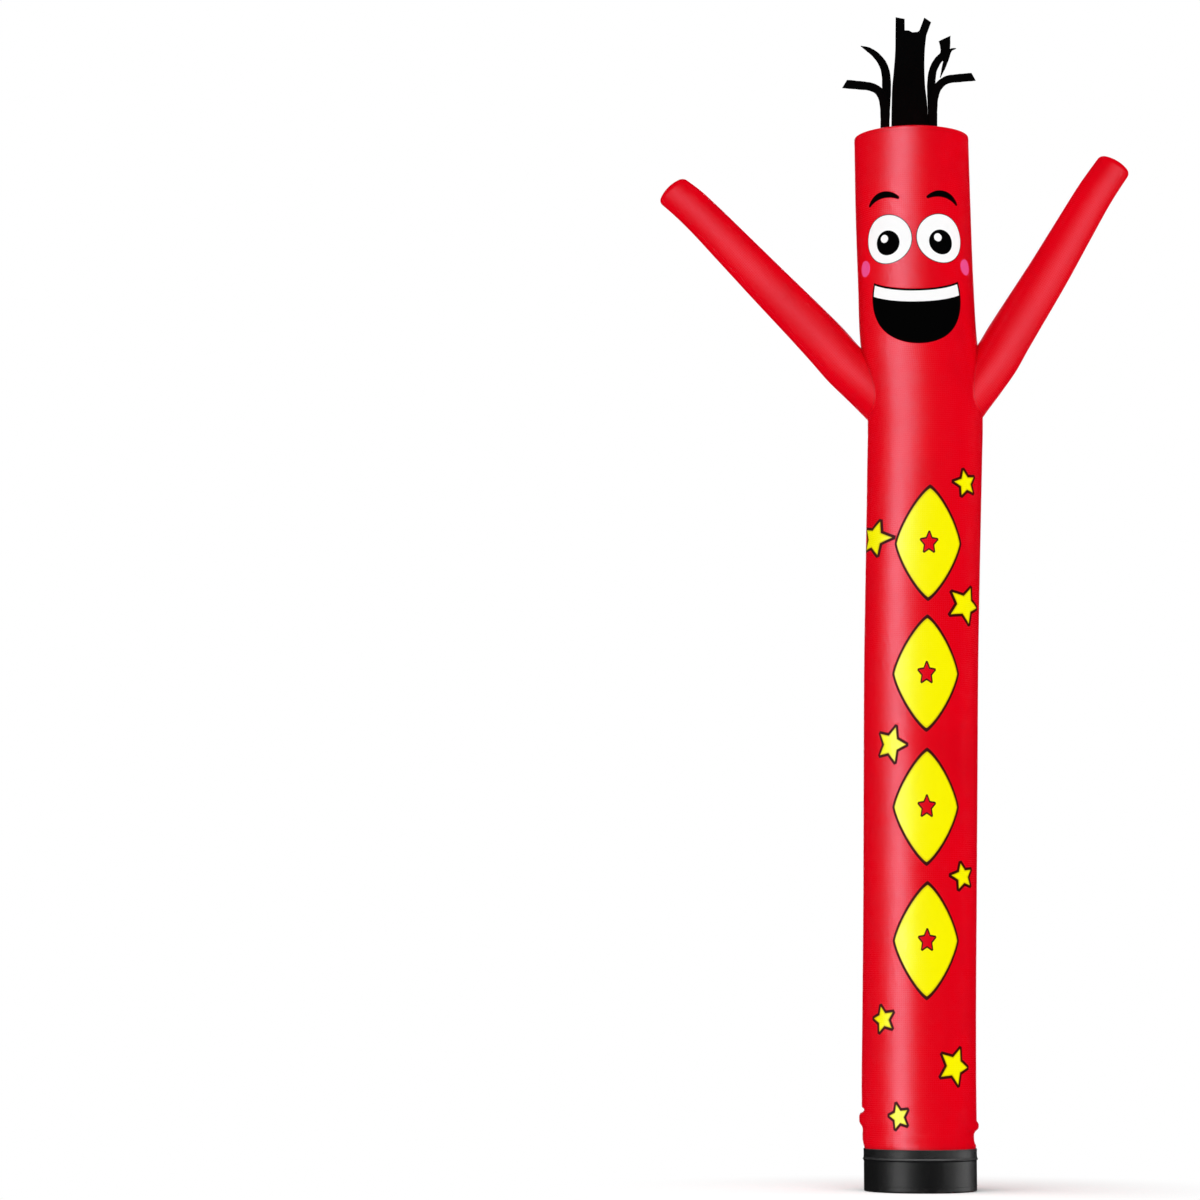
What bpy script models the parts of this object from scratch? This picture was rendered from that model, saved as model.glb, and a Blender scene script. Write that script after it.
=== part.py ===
# Inflatable air dancer: a tall nylon tube with two arms, a domed crown with hair,
# and a black sleeve at its foot. Metres, +Z up, front towards -Y.
# The origin is on the floor, at the centre of the box that holds the whole figure.

import math

import bmesh
import bpy
import numpy as np
from mathutils import Vector

# ---- cloth
WALL = 0.002  # every tube's wall, seams and coating included
HAIR_THICK = 0.0012
GAP = 0.0003  # left between pieces that are sewn to each other

# ---- the tube
FOOT_X = 0.0520  # the foot stands off centre, because the left arm reaches further
TUBE_SIDES = 40
TUBE_TOP = 2.843

# Sections of the tube: the further up, the more it sways before the head comes back.
TUBE_SECTIONS = (
    # height, sway, radius
    (0.086, 0.0000, 0.1466),
    (0.110, 0.0000, 0.1467),
    (0.118, 0.0000, 0.1492),
    (0.150, -0.0005, 0.1512),
    (0.190, -0.0015, 0.1524),
    (0.260, -0.0018, 0.1526),
    (0.450, 0.0005, 0.1518),
    (0.800, 0.0062, 0.1520),
    (1.100, 0.0104, 0.1530),
    (1.400, 0.0148, 0.1538),
    (1.700, 0.0225, 0.1545),
    (1.950, 0.0300, 0.1556),
    (2.070, 0.0335, 0.1562),
    (2.180, 0.0275, 0.1582),
    (2.300, 0.0155, 0.1586),
    (2.450, 0.0098, 0.1572),
    (2.650, 0.0050, 0.1570),
    (2.843, 0.0027, 0.1562),
)
# Heights of the tube's rings: close together over the puckers and at the armholes.
TUBE_RINGS = (
    # from, to, steps
    (0.086, 0.110, 1),
    (0.110, 0.118, 1),
    (0.118, 0.230, 14),
    (0.230, 0.260, 1),
    (0.260, 2.000, 6),
    (2.000, 2.360, 6),
    (2.360, 2.843, 3),
)
# Puckers where the sleeve draws the tube in, as uneven as they hang.
PUCKERS = (
    # angle, height, swell, half_width, half_height
    (180, 0.2120, -0.0040, 20, 0.0060),
    (178, 0.1880, 0.0085, 22, 0.0125),
    (186, 0.1420, 0.0016, 24, 0.0130),
    (2, 0.1640, 0.0058, 20, 0.0085),
    (-2, 0.1340, -0.0072, 22, 0.0100),
    (30, 0.1860, 0.0024, 16, 0.0160),
    (62, 0.1520, -0.0022, 12, 0.0140),
    (88, 0.1740, 0.0026, 14, 0.0180),
    (116, 0.1480, -0.0024, 12, 0.0120),
    (142, 0.1720, 0.0024, 14, 0.0140),
    (212, 0.1560, -0.0018, 12, 0.0120),
    (238, 0.1760, 0.0014, 14, 0.0160),
    (268, 0.1420, -0.0012, 14, 0.0100),
    (300, 0.1660, 0.0014, 14, 0.0160),
    (330, 0.1500, -0.0018, 12, 0.0120),
)

# ---- the crown
CROWN_EDGE = 0.010  # radius of the rounded sewn edge
CROWN_EDGE_TURN = 72  # degrees that this edge turns before the dome takes over
CROWN_EDGE_STEPS = 3
CROWN_RISE = 0.018  # the air lifts its middle this far above the edge
CROWN_RINGS = 5

# ---- the sleeve and its band
SLEEVE_RADIUS = 0.1492
SLEEVE_HEIGHT = 0.109
SLEEVE_HEM = 0.0003  # how far the hem's corners are rounded
BAND_HEIGHT = 0.027
BAND_THICK = 0.0026
BAND_EDGE = 0.0008

# ---- the arms; roots and tips are across from the foot's centre, and up
ARM_SIDES = 24
ARMS = {
    "arm_left": {
        "root": (-0.1282, 2.1742),
        "tip": (-0.6590, 2.7320),
        "root_radius": 0.0652,
        "tip_radius": 0.0502,
        "bow": -0.0010,
    },
    "arm_right": {
        "root": (0.1845, 2.1785),
        "tip": (0.5506, 2.7690),
        "root_radius": 0.0645,
        "tip_radius": 0.0472,
        "bow": 0.0,
    },
}
# The sleeve's root is cut wider from front to back than from top to bottom.
ARM_FLARE = (
    # share of the length, depth over height
    (-0.22, 1.42),
    (-0.12, 1.40),
    (-0.04, 1.34),
    (0.04, 1.24),
    (0.12, 1.13),
    (0.22, 1.04),
    (0.36, 1.00),
    (0.52, 1.00),
    (0.68, 1.00),
    (0.84, 1.00),
)
ARM_TIP_CORNER = 0.026  # radius of the tip's rounded corner
ARM_TIP_TURN = 80  # degrees that this corner turns
ARM_TIP_STEPS = 4
ARM_TIP_RISE = 0.010  # how far the tip's middle stands beyond the tip point
BORE_RINGS = 6  # rings of the arm that its armhole guide uses, from inside the tube
SHOULDERS = (1.9, 2.6)  # heights between which the arms meet the tube

# ---- the hair, in strips that stand on the crown
HAIR_SEAT = 0.0004  # between the crown's cloth and the foot of a strip
HAIR_STRIPS = {
    # across, up, width, depth, twist
    "hair_left_outer": (
        (-0.0720, 0.000, 0.0232, -0.0060, 0),
        (-0.0722, 0.055, 0.0236, -0.0066, 0),
        (-0.0755, 0.090, 0.0240, -0.0080, 3),
        (-0.0870, 0.1150, 0.0242, -0.0110, 6),
        (-0.1090, 0.1280, 0.0238, -0.0150, 8),
        (-0.1400, 0.1340, 0.0232, -0.0120, 5),
        (-0.1815, 0.1375, 0.0226, -0.0040, 0),
    ),
    "hair_left_inner": (
        (-0.0715, 0.000, 0.0225, 0.0060, 0),
        (-0.0682, 0.070, 0.0232, 0.0066, 0),
        (-0.0666, 0.125, 0.0230, 0.0085, -3),
        (-0.0696, 0.168, 0.0218, 0.0120, -6),
        (-0.0795, 0.200, 0.0196, 0.0150, -9),
        (-0.0955, 0.224, 0.0150, 0.0140, -9),
        (-0.1150, 0.238, 0.0098, 0.0100, -6),
        (-0.1360, 0.246, 0.0024, 0.0060, 0),
    ),
    "hair_right_inner": (
        (0.0585, 0.000, 0.0235, 0.0070, 0),
        (0.0575, 0.070, 0.0235, 0.0074, 0),
        (0.0562, 0.130, 0.0232, 0.0085, 4),
        (0.0608, 0.173, 0.0218, 0.0110, 8),
        (0.0740, 0.202, 0.0206, 0.0130, 10),
        (0.0890, 0.218, 0.0206, 0.0120, 8),
        (0.0940, 0.237, 0.0256, 0.0090, 4),
        (0.0922, 0.263, 0.0322, 0.0060, 0),
    ),
    "hair_right_outer": (
        (0.0600, 0.000, 0.0230, -0.0060, 0),
        (0.0608, 0.060, 0.0230, -0.0066, 0),
        (0.0645, 0.097, 0.0230, -0.0080, -3),
        (0.0760, 0.1245, 0.0232, -0.0110, -6),
        (0.0985, 0.1425, 0.0234, -0.0140, -8),
        (0.1310, 0.1485, 0.0236, -0.0120, -5),
        (0.1722, 0.1505, 0.0234, -0.0050, 0),
    ),
}
# The torn end of the right inner strip: a sliver that crosses it and hangs down.
TORN_SLIVER = (
    # across, up, width, depth, twist
    (0.1255, 0.2350, 0.0020, 0.0085, 0),
    (0.1110, 0.2310, 0.0080, 0.0095, 0),
    (0.1012, 0.2170, 0.0150, 0.0105, 0),
    (0.0930, 0.1900, 0.0118, 0.0115, 0),
    (0.0812, 0.1550, 0.0022, 0.0120, 0),
)
HAIR_STEPS = 3  # rings between two rows of a strip's table
STRIP_END_SLANT = {"hair_left_outer": -0.010, "hair_right_outer": 0.009, "hair_right_inner": 0.013}

# The middle panel's foot, and its outline from there up to the notched top and down again.
PANEL_FOOT = (-0.0540, 0.0495)
PANEL_FOOT_STEPS = 8
PANEL_OUTLINE = (
    # across, up from the crown's top
    (0.0438, 0.088),
    (0.0385, 0.128),
    (0.0370, 0.170),
    (0.0386, 0.236),
    (0.0425, 0.268),
    (0.0565, 0.3055),
    (0.0385, 0.320),
    (0.0240, 0.284),
    (0.0200, 0.2795),
    (0.0055, 0.2775),
    (-0.0035, 0.283),
    (-0.0160, 0.284),
    (-0.0163, 0.3180),
    (-0.0412, 0.3225),
    (-0.0424, 0.238),
    (-0.0452, 0.170),
    (-0.0502, 0.130),
    (-0.0524, 0.082),
)
PANEL_BEND = (
    # up, depth
    (0.000, 0.000),
    (0.100, 0.003),
    (0.200, -0.004),
    (0.280, -0.010),
    (0.330, -0.004),
)
PANEL_NOTCH = 0.272  # the slices go up to here, just under the notch
PANEL_SLICES = 8

SMOOTH_ANGLE = 40  # degrees; edges that turn more stay crisp

# ---- colours: red, green, blue, roughness
FINISHES = {
    "red_nylon": (0.76, 0.003, 0.010, 0.42),
    "black_coated": (0.018, 0.018, 0.019, 0.45),
    "black_webbing": (0.022, 0.022, 0.023, 0.60),
    "black_nylon": (0.004, 0.004, 0.004, 0.65),
}


def smooth_row(table, at):
    """The table's other columns at a value of its first, on a smooth curve."""
    rows = np.array(table, float)
    x = rows[:, 0]
    slope = np.gradient(rows[:, 1:], x, axis=0)
    at = min(max(at, x[0]), x[-1])
    i = min(max(int(np.searchsorted(x, at)) - 1, 0), len(x) - 2)
    step = x[i + 1] - x[i]
    t = (at - x[i]) / step
    start, end = rows[i, 1:], rows[i + 1, 1:]
    leave, arrive = slope[i] * step, slope[i + 1] * step
    return (
        (2 * t**3 - 3 * t**2 + 1) * start
        + (t**3 - 2 * t**2 + t) * leave
        + (3 * t**2 - 2 * t**3) * end
        + (t**3 - t**2) * arrive
    )


def finish(name):
    material = bpy.data.materials.get(name)
    if material is None:
        red, green, blue, roughness = FINISHES[name]
        material = bpy.data.materials.new(name)
        material.use_nodes = True
        shader = material.node_tree.nodes["Principled BSDF"]
        shader.inputs["Base Color"].default_value = (red, green, blue, 1.0)
        shader.inputs["Roughness"].default_value = roughness
        shader.inputs["Metallic"].default_value = 0.0
    return material


def new_object(name, bm, finish_name):
    bmesh.ops.recalc_face_normals(bm, faces=bm.faces)
    mesh = bpy.data.meshes.new(name)
    bm.to_mesh(mesh)
    bm.free()
    ob = bpy.data.objects.new(name, mesh)
    bpy.context.collection.objects.link(ob)
    mesh.materials.append(finish(finish_name))
    mesh.shade_smooth()
    mesh.set_sharp_from_angle(angle=math.radians(SMOOTH_ANGLE))
    return ob


def loft(bm, rings, closed=False):
    """Joins rings of points with faces; a ring of one point is a pole."""
    made = [[bm.verts.new(p) for p in ring] for ring in rings]
    pairs = list(zip(made, made[1:]))
    if closed:
        pairs.append((made[-1], made[0]))
    for low, high in pairs:
        count = max(len(low), len(high))
        for i in range(count):
            j = (i + 1) % count
            corners = [low[i % len(low)], low[j % len(low)], high[j % len(high)], high[i % len(high)]]
            bm.faces.new(list(dict.fromkeys(corners)))
    return made


def level_ring(middle_x, radius, height):
    turns = [2 * math.pi * i / TUBE_SIDES for i in range(TUBE_SIDES)]
    return [Vector((middle_x + radius * math.cos(t), radius * math.sin(t), height)) for t in turns]


def middle_of(ring):
    return sum(ring, Vector()) / len(ring)


def solid_guide(name, rings):
    """A closed solid through the rings, to cut with; it is not part of the figure."""
    bm = bmesh.new()
    loft(bm, [[middle_of(rings[0])]] + rings + [[middle_of(rings[-1])]])
    return new_object(name, bm, "red_nylon")


def boolean(ob, guide, operation):
    modifier = ob.modifiers.new(guide.name, "BOOLEAN")
    modifier.operation = operation
    modifier.solver = "EXACT"
    modifier.object = guide
    guide.hide_render = True
    guide.display_type = "WIRE"


# ---- the tube


def pucker(angle, height):
    """How far the gathered cloth stands out at an angle (degrees) and a height."""
    swell = 0.0
    for at_angle, at_height, depth, half_width, half_height in PUCKERS:
        turn = (angle - at_angle + 180) % 360 - 180
        swell += depth * math.exp(-((turn / half_width) ** 2) - ((height - at_height) / half_height) ** 2)
    return swell


def tube_ring(height, inset):
    sway, radius = smooth_row(TUBE_SECTIONS, height)
    ring = []
    for i in range(TUBE_SIDES):
        angle = 360 * i / TUBE_SIDES
        reach = radius - inset + pucker(angle, height)
        turn = math.radians(angle)
        ring.append(Vector((FOOT_X + sway + reach * math.cos(turn), reach * math.sin(turn), height)))
    return ring


def tube_heights():
    heights = [TUBE_RINGS[0][0]]
    for start, end, steps in TUBE_RINGS:
        heights += [start + (end - start) * (i + 1) / steps for i in range(steps)]
    return heights


def make_body_tube():
    outside = [tube_ring(h, 0.0) for h in tube_heights()]
    inside = [tube_ring(h, WALL) for h in reversed(tube_heights())]
    bm = bmesh.new()
    loft(bm, outside + inside, closed=True)
    return new_object("body_tube", bm, "red_nylon")


def make_shoulder_guide():
    """The tube's outer face at the shoulders, with the sewing gap."""
    low, high = SHOULDERS
    return solid_guide("shoulder_guide", [tube_ring(h, -GAP) for h in tube_heights() if low < h < high])


# ---- the crown


def crown_profile(inset):
    """Radius and height from the sewn edge up to the middle."""
    edge_middle = smooth_row(TUBE_SECTIONS, TUBE_TOP)[1] - CROWN_EDGE
    base = TUBE_TOP + GAP
    profile = []
    for i in range(CROWN_EDGE_STEPS + 1):
        turn = math.radians(CROWN_EDGE_TURN) * i / CROWN_EDGE_STEPS
        corner = CROWN_EDGE - inset
        profile.append((edge_middle + corner * math.cos(turn), base + corner * math.sin(turn)))
    edge_radius, edge_height = profile[-1]
    top = base + CROWN_EDGE + CROWN_RISE - inset
    for i in range(1, CROWN_RINGS + 1):
        share = 1 - i / CROWN_RINGS
        profile.append((edge_radius * share, top - (top - edge_height) * share**2))
    return profile


def crown_middle():
    """The crown's highest point."""
    sway = smooth_row(TUBE_SECTIONS, TUBE_TOP)[0]
    return Vector((FOOT_X + sway, 0.0, crown_profile(0.0)[-1][1]))


def crown_height(point):
    """Height of the crown's outer face over or under a point."""
    middle = crown_middle()
    profile = crown_profile(0.0)[::-1]
    radius = math.hypot(point.x - middle.x, point.y - middle.y)
    return float(np.interp(radius, [p[0] for p in profile], [p[1] for p in profile]))


def make_head_cap():
    middle = crown_middle()
    bm = bmesh.new()
    rims = []
    for inset in (0.0, WALL):
        profile = crown_profile(inset)
        pole = [Vector((middle.x, 0.0, profile[-1][1]))]
        shell = loft(bm, [level_ring(middle.x, radius, height) for radius, height in profile[:-1]] + [pole])
        rims.append(shell[0])
    join_rims(bm, *rims)
    return new_object("head_cap", bm, "red_nylon")


def join_rims(bm, outer, inner):
    for i in range(len(outer)):
        j = (i + 1) % len(outer)
        bm.faces.new([outer[i], outer[j], inner[j], inner[i]])


# ---- the sleeve and its band


def make_band(name, radius_in, radius_out, low, high, corner, finish_name):
    """A ring of cloth whose outer corners are rounded by its turned hem."""
    section = (
        (radius_in, low),
        (radius_out - corner, low),
        (radius_out, low + corner),
        (radius_out, high - corner),
        (radius_out - corner, high),
        (radius_in, high),
    )
    bm = bmesh.new()
    loft(bm, [level_ring(FOOT_X, radius, height) for radius, height in section], closed=True)
    return new_object(name, bm, finish_name)


def make_cuff():
    return make_band(
        "cuff", SLEEVE_RADIUS - WALL, SLEEVE_RADIUS, 0.0, SLEEVE_HEIGHT, SLEEVE_HEM, "black_coated"
    )


def make_cuff_strap():
    inner = SLEEVE_RADIUS + GAP
    low = SLEEVE_HEIGHT - BAND_HEIGHT
    return make_band(
        "cuff_strap", inner, inner + BAND_THICK, low, SLEEVE_HEIGHT, BAND_EDGE, "black_webbing"
    )


# ---- the arms


def arm_sections(arm, length, inset):
    """Distance from the root, half height and half depth, from inside the tube to the tip."""
    root_radius, tip_radius = arm["root_radius"], arm["tip_radius"]
    sections = []
    for share, flare in ARM_FLARE:
        radius = root_radius + (tip_radius - root_radius) * max(share, 0.0)
        sections.append((share * length, radius - inset, radius * flare - inset))
    corner = ARM_TIP_CORNER - inset
    for i in range(ARM_TIP_STEPS + 1):
        turn = math.radians(ARM_TIP_TURN) * i / ARM_TIP_STEPS
        radius = tip_radius - ARM_TIP_CORNER + corner * math.cos(turn)
        sections.append((length - ARM_TIP_CORNER + corner * math.sin(turn), radius, radius))
    return sections


def arm_rings(arm, inset):
    """Rings from inside the tube to the closed tip, ending at a pole."""
    (root_x, root_z), (tip_x, tip_z) = arm["root"], arm["tip"]
    root = Vector((FOOT_X + root_x, 0.0, root_z))
    tip = Vector((FOOT_X + tip_x, 0.0, tip_z))
    length = (tip - root).length
    along = (tip - root) / length
    side = Vector((-along.z, 0.0, along.x))
    back = Vector((0.0, 1.0, 0.0))
    rings = []
    for distance, half_height, half_depth in arm_sections(arm, length, inset):
        share = min(max(distance / length, 0.0), 1.0)
        centre = root + along * distance + side * (arm["bow"] * 4 * share * (1 - share))
        ring = []
        for i in range(ARM_SIDES):
            turn = 2 * math.pi * i / ARM_SIDES
            ring.append(centre + side * half_height * math.cos(turn) + back * half_depth * math.sin(turn))
        rings.append(ring)
    rings.append([root + along * (length + ARM_TIP_RISE - inset)])
    return rings


def make_arm(name, shoulder_guide):
    bm = bmesh.new()
    outside = loft(bm, arm_rings(ARMS[name], 0.0))
    inside = loft(bm, arm_rings(ARMS[name], WALL))
    join_rims(bm, outside[0], inside[0])
    ob = new_object(name, bm, "red_nylon")
    boolean(ob, shoulder_guide, "DIFFERENCE")
    return ob


def cut_armhole(body, name):
    guide = solid_guide(name + "_bore_guide", arm_rings(ARMS[name], WALL)[:BORE_RINGS])
    boolean(body, guide, "DIFFERENCE")


# ---- the hair


def smooth_path(rows):
    """Rows of a strip's table with smooth rows in between."""
    keyed = [(float(i),) + tuple(row) for i, row in enumerate(rows)]
    count = (len(rows) - 1) * HAIR_STEPS
    return [smooth_row(keyed, i / HAIR_STEPS) for i in range(count + 1)]


def strip_mesh(rows, seated, slant):
    """A flat strip of cloth along its path; a seated one follows the crown at its foot."""
    middle = crown_middle()
    path = smooth_path(rows)
    points = [Vector((across, 0.0, up)) for across, up, width, depth, twist in path]
    rings = []
    for i, (across, up, width, depth, twist) in enumerate(path):
        along = (points[min(i + 1, len(points) - 1)] - points[max(i - 1, 0)]).normalized()
        turn = math.radians(twist)
        edge = Vector((along.z * math.cos(turn), math.sin(turn), -along.x * math.cos(turn)))
        face = along.cross(edge).normalized()
        centre = middle + Vector((across, depth, up))
        ring = []
        for wide, thick in ((-0.5, -0.5), (0.5, -0.5), (0.5, 0.5), (-0.5, 0.5)):
            point = centre + edge * width * wide + face * HAIR_THICK * thick
            if i == len(path) - 1:
                point += along * slant * wide
            if i == 0 and seated:
                point.z = crown_height(point) + HAIR_SEAT
            ring.append(point)
        rings.append(ring)
    bm = bmesh.new()
    made = loft(bm, rings)
    bm.faces.new(made[0])
    bm.faces.new(made[-1])
    return bm


def make_strip(name):
    slant = STRIP_END_SLANT.get(name, 0.0)
    return new_object(name, strip_mesh(HAIR_STRIPS[name], True, slant), "black_nylon")


def join_torn_end(strip):
    sliver = new_object("torn_end_guide", strip_mesh(TORN_SLIVER, False, 0.0), "black_nylon")
    boolean(strip, sliver, "UNION")


def make_hair_centre():
    """The middle panel: its outline filled, cut into slices, given its thickness and bent."""
    middle = crown_middle()
    left, right = PANEL_FOOT
    steps = range(PANEL_FOOT_STEPS + 1)
    foot = [(left + (right - left) * i / PANEL_FOOT_STEPS, 0.0) for i in steps]
    bm = bmesh.new()
    bm.faces.new([bm.verts.new((across, 0.0, up)) for across, up in foot + list(PANEL_OUTLINE)])
    for i in range(1, PANEL_SLICES):
        geometry = list(bm.verts) + list(bm.edges) + list(bm.faces)
        height = PANEL_NOTCH * i / PANEL_SLICES
        bmesh.ops.bisect_plane(bm, geom=geometry, plane_co=(0, 0, height), plane_no=(0, 0, 1))
    bmesh.ops.triangulate(bm, faces=bm.faces)
    back = bmesh.ops.extrude_face_region(bm, geom=list(bm.faces))
    for vert in (v for v in back["geom"] if isinstance(v, bmesh.types.BMVert)):
        vert.co.y += HAIR_THICK
    for vert in bm.verts:
        on_crown = vert.co.z == 0.0
        vert.co.y += float(smooth_row(PANEL_BEND, vert.co.z)[0]) - HAIR_THICK / 2
        vert.co += middle
        if on_crown:
            vert.co.z = crown_height(vert.co) + HAIR_SEAT
    return new_object("hair_centre", bm, "black_nylon")


def build():
    for ob in list(bpy.data.objects):
        bpy.data.objects.remove(ob)

    body = make_body_tube()
    make_head_cap()
    make_cuff()
    make_cuff_strap()

    shoulder_guide = make_shoulder_guide()
    for name in ARMS:
        make_arm(name, shoulder_guide)
        cut_armhole(body, name)

    make_hair_centre()
    for name in HAIR_STRIPS:
        strip = make_strip(name)
        if name == "hair_right_inner":
            join_torn_end(strip)


build()
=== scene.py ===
import math

import bmesh
import bpy
import numpy as np
from mathutils import Matrix, Vector


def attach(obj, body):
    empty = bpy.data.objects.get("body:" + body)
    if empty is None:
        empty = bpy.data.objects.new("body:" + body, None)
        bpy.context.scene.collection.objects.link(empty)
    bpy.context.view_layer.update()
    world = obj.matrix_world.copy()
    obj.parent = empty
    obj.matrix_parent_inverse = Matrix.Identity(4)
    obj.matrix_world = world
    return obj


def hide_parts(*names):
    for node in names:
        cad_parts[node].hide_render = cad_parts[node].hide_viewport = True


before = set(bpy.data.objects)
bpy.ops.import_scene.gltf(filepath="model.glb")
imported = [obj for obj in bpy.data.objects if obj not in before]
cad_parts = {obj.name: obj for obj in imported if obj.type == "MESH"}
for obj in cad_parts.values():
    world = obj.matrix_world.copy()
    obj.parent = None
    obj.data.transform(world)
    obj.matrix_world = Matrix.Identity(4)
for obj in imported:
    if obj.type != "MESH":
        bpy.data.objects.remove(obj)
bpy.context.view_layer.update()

print("frame loaded, nodes to dress:", len(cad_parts))

# metres, +Z up, front towards -Y; turns round the figure are 0 at the front and grow to the right
footX = 0.052  # where the foot stands
gap = 0.0003  # between pieces that are sewn to each other
clothPerRadian = 0.153  # metres of the tube's cloth to each radian round it
sharpFrom = math.radians(50)  # cloth that bends more than this within one edge shows a crease
beadProfile = ((-0.5, 0.35), (-0.38, 0.85), (0.0, 1.0), (0.38, 0.85), (0.5, 0.35))
beadSides = 6
beadLift = 0.35  # radii that a bead's middle stands over the cloth
beadBow = 1.2  # how strongly its ends dip
pieces = {}


def smoothCurve(rows, at):
    # the table's other columns, each on a smooth curve, for every value of its first
    x, *columns = np.array(rows, float).T
    at = np.clip(at, x[0], x[-1])
    i = np.clip(np.searchsorted(x, at) - 1, 0, len(x) - 2)
    step = x[i + 1] - x[i]
    t = (at - x[i]) / step
    found = []
    for y in columns:
        slope = np.gradient(y, x)
        found.append(
            (2 * t**3 - 3 * t**2 + 1) * y[i] + (t**3 - 2 * t**2 + t) * slope[i] * step
            + (3 * t**2 - 2 * t**3) * y[i + 1] + (t**3 - t**2) * slope[i + 1] * step)
    return np.array(found)


def spread(start, *stops):
    # values that step from the start to each stop: (to, steps)
    values = [start]
    for end, steps in stops:
        values += list(np.linspace(values[-1], end, steps + 1)[1:])
    return np.array(values)


def unit(vectors):
    return vectors / np.linalg.norm(vectors, axis=-1, keepdims=True)


def runsAlong(points):
    # how far along the line each point lies
    return np.concatenate([[0], np.cumsum(np.linalg.norm(np.diff(points, axis=0), axis=1))])


def addMesh(name, points, faces, uvLayers=None):
    mesh = bpy.data.meshes.new(name)
    mesh.from_pydata(points.tolist(), [], faces)
    for layer, places in (uvLayers or {}).items():
        mesh.uv_layers.new(name=layer).data.foreach_set("uv", np.array(places, np.float32).ravel())
    if uvLayers:
        mesh.uv_layers.active = mesh.uv_layers["cloth"]
    bm = bmesh.new()
    bm.from_mesh(mesh)
    bmesh.ops.delete(bm, geom=[v for v in bm.verts if not v.link_faces], context="VERTS")
    bmesh.ops.recalc_face_normals(bm, faces=bm.faces)
    bm.to_mesh(mesh)
    bm.free()
    mesh.shade_smooth()
    piece = bpy.data.objects.new(name, mesh)
    bpy.context.collection.objects.link(piece)
    return piece


def clothMesh(name, outside, inside, across, along, wrap=True, keep=None, capEnd=False, insideShare=0.06):
    # a closed thin cloth from two grids of points, with a rim along every open edge
    rows, columns = outside.shape[:2]
    kept = np.ones((rows - 1, columns if wrap else columns - 1), bool) if keep is None else keep
    joined = np.pad(kept, 1)
    if wrap:
        joined[1:-1, 0], joined[1:-1, -1] = kept[:, -1], kept[:, 0]
    if capEnd:
        joined[-1] = True
    back = rows * columns
    low, bottom = across.min(), along.min()
    wide, tall = across.max() - low, along.max() - bottom
    front = 0.985 - insideShare  # the baked image holds the outside, then the rims, then the inside
    faces, clothUv, bakeUv, rims = [], [], [], []

    def bakePlace(place, inner):
        u, v = (place[0] - low) / wide, 0.004 + 0.992 * (place[1] - bottom) / tall
        return (front + 0.012 + (insideShare - 0.002) * u if inner else 0.002 + (front - 0.004) * u, v)

    for r, c in np.argwhere(kept).tolist():
        corners = ((r, c), (r, c + 1), (r + 1, c + 1), (r + 1, c))
        loop = [a * columns + b % columns for a, b in corners]
        places = [(across[corner], along[corner]) for corner in corners]
        faces += [loop, [back + k for k in loop[::-1]]]
        clothUv += places + places[::-1]
        bakeUv += [bakePlace(p, False) for p in places] + [bakePlace(p, True) for p in places[::-1]]
        beside = (joined[r, c + 1], joined[r + 1, c + 2], joined[r + 2, c + 1], joined[r + 1, c])
        for start, neighbour in enumerate(beside):
            end = (start + 1) % 4
            if not neighbour:
                rims.append((loop[start], loop[end], places[start], places[end]))
    for i, (start, end, startPlace, endPlace) in enumerate(rims):
        faces.append([end, start, back + start, back + end])
        clothUv += [endPlace, startPlace, startPlace, endPlace]
        v0, v1 = i / len(rims), (i + 0.9) / len(rims)
        bakeUv += [(front + 0.002, v1), (front + 0.002, v0), (front + 0.008, v0), (front + 0.008, v1)]
    if capEnd:
        ring = [(rows - 1) * columns + c for c in range(columns)]
        middle = (across[-1].mean(), along[-1].mean())
        for inner in (False, True):
            faces.append([back + k for k in ring[::-1]] if inner else ring)
            clothUv += [middle] * columns
            u, v = bakePlace(middle, inner)
            for turn in 2 * math.pi * np.arange(columns) / columns:
                bakeUv.append((u + 0.002 * math.cos(turn), v - 0.002 + 0.002 * math.sin(turn)))
    points = np.concatenate([outside.reshape(-1, 3), inside.reshape(-1, 3)])
    piece = addMesh(name, points, faces, {"cloth": clothUv, "OFBake": bakeUv})
    piece.data.set_sharp_from_angle(angle=sharpFrom)
    return piece


def dress(piece, material, node=None):
    piece.data.materials.append(material)
    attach(piece, "root")
    if node:
        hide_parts(node)
    pieces[piece.name] = piece
    return piece


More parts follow.
